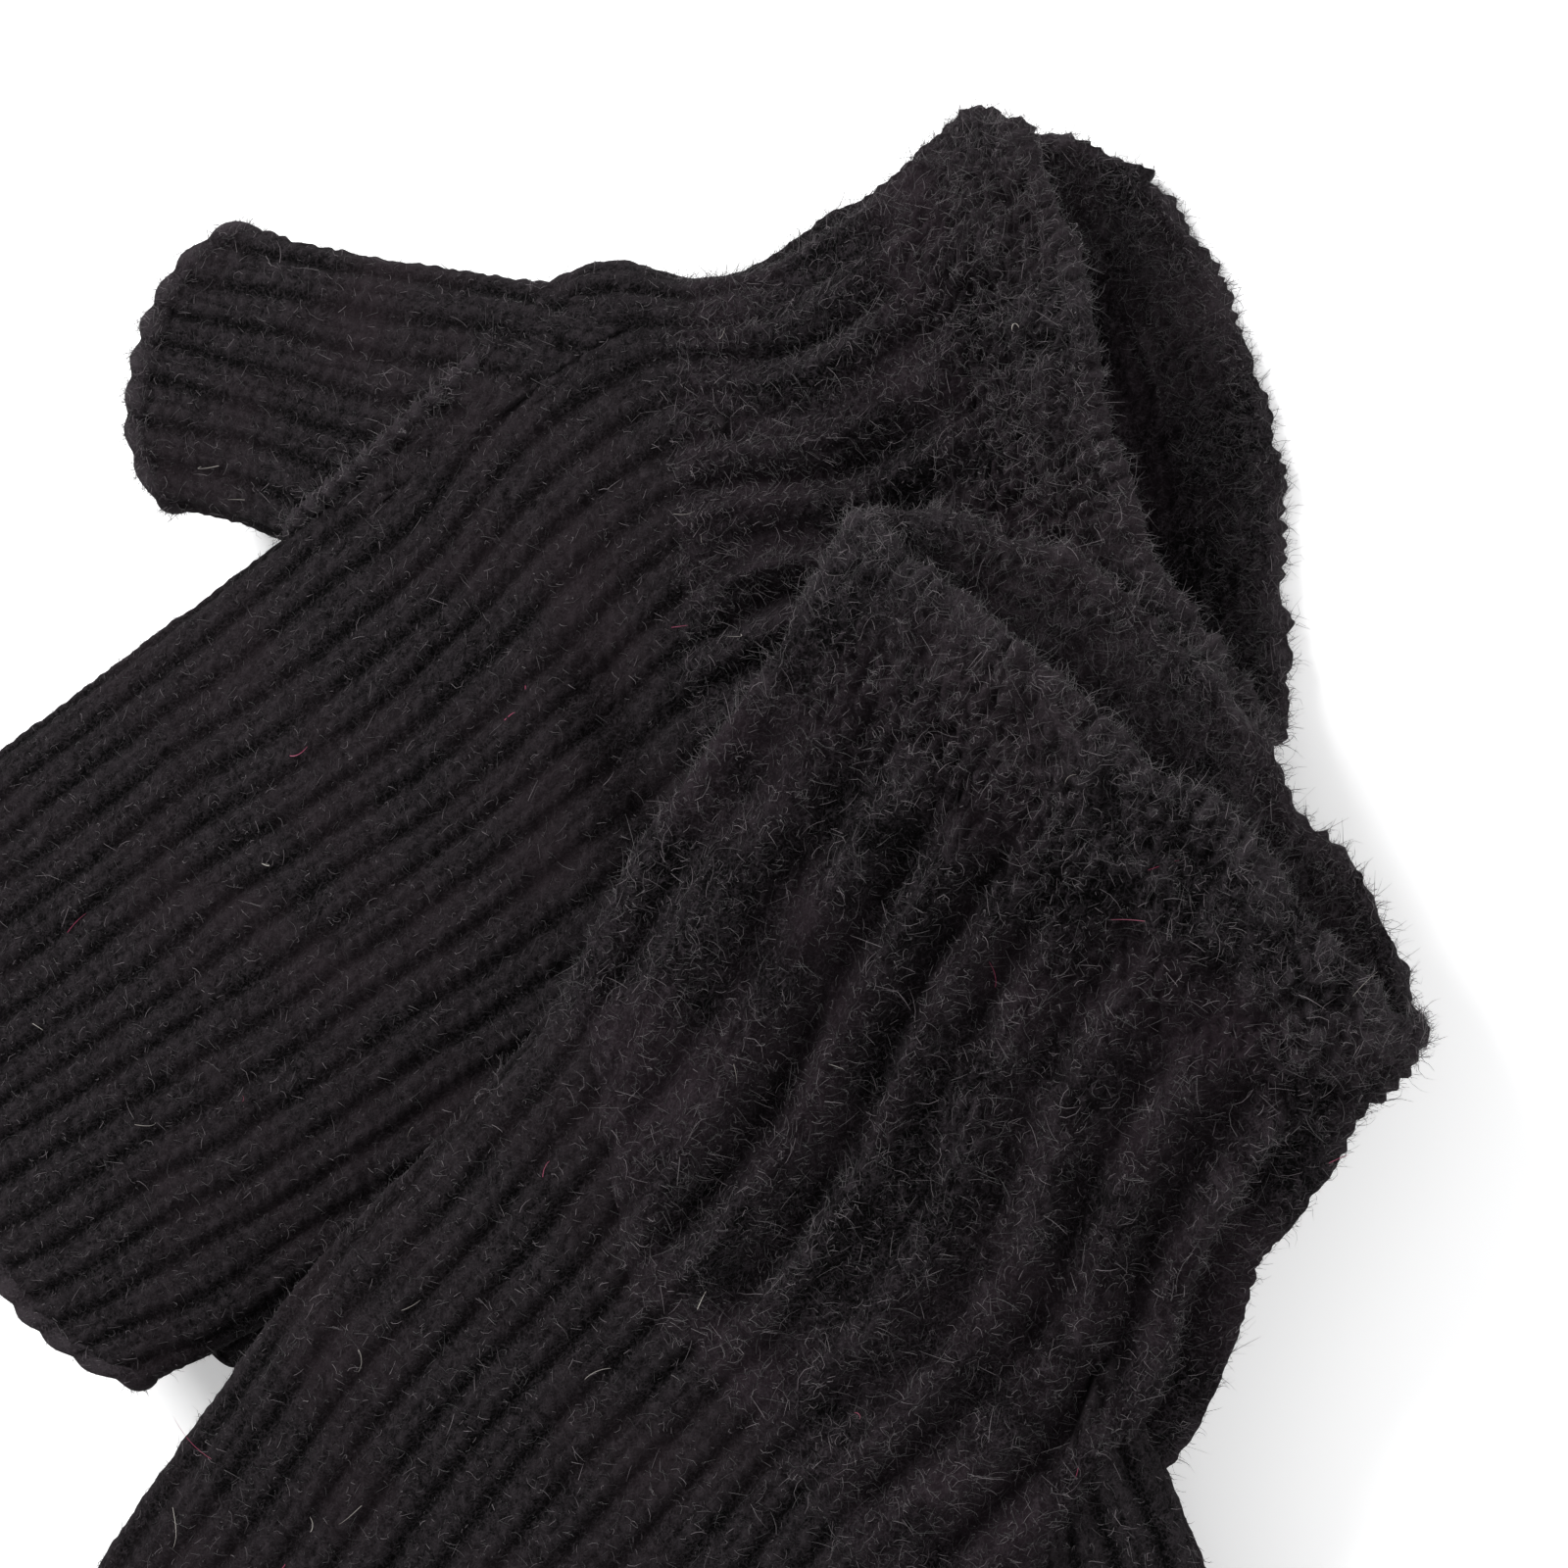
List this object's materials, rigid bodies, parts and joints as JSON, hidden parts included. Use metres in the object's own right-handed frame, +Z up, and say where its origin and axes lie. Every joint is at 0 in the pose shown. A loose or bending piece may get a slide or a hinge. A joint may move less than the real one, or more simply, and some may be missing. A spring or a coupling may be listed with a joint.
{
  "type": "convertible flip-top mittens",
  "caption": "Pair of ribbed knit convertible mittens with open fingers and thumbs, wide soft cuffs and flip caps folded back under the hands.",
  "frame": {"origin": "on the table under the middle of the pair", "axes": "+Z up from the table; +Y along the pair's longest side, from the left mitten's fingers towards the right mitten's cuff"},
  "size_m": [0.2118, 0.2642, 0.0567],
  "materials": {
    "rib_knit": "hairy ribbed wool knit",
    "cuff_knit": "felted loose wool knit",
    "edge_yarn": "bound-off yarn edge",
    "thread": "twisted thread",
    "button": "satin"
  },
  "bodies": {
    "right_mitten": {"right_cuff": "cuff_knit", "right_cuff_rim": "cuff_knit", "right_hand": "rib_knit", "right_finger_edge": "edge_yarn", "right_thumb": "rib_knit", "right_thumb_edge": "edge_yarn", "right_thumb_seam": "edge_yarn", "right_button": "button", "right_button_thread": "thread"},
    "right_cap": {"right_cap": "rib_knit", "right_cap_hem": "edge_yarn", "right_cap_hinge_seam": "edge_yarn", "right_button_loop": "thread"},
    "left_mitten": {"left_cuff": "cuff_knit", "left_cuff_rim": "cuff_knit", "left_hand": "rib_knit", "left_finger_edge": "edge_yarn", "left_thumb": "rib_knit", "left_thumb_edge": "edge_yarn", "left_thumb_seam": "edge_yarn", "left_button": "button", "left_button_thread": "thread"},
    "left_cap": {"left_cap": "rib_knit", "left_cap_hem": "edge_yarn", "left_cap_hinge_seam": "edge_yarn", "left_button_loop": "thread"}
  },
  "joints": [
    {"name": "right_cap_hinge", "type": "hinge", "parent": "right_mitten", "child": "right_cap", "pos_m": [-0.07949, -0.00093, 0.0157], "axis": [-0.5075, 0.8616, 0], "range_deg": [0, 180]},
    {"name": "left_mitten_lift", "type": "slide", "parent": "right_mitten", "child": "left_mitten", "axis": [0, 0, 1], "range_m": [0, 0.12]},
    {"name": "left_cap_hinge", "type": "hinge", "parent": "left_mitten", "child": "left_cap", "pos_m": [-0.032, -0.10184, 0.02381], "axis": [-0.7838, 0.5912, 0.1901], "range_deg": [0, 180]}
  ]
}
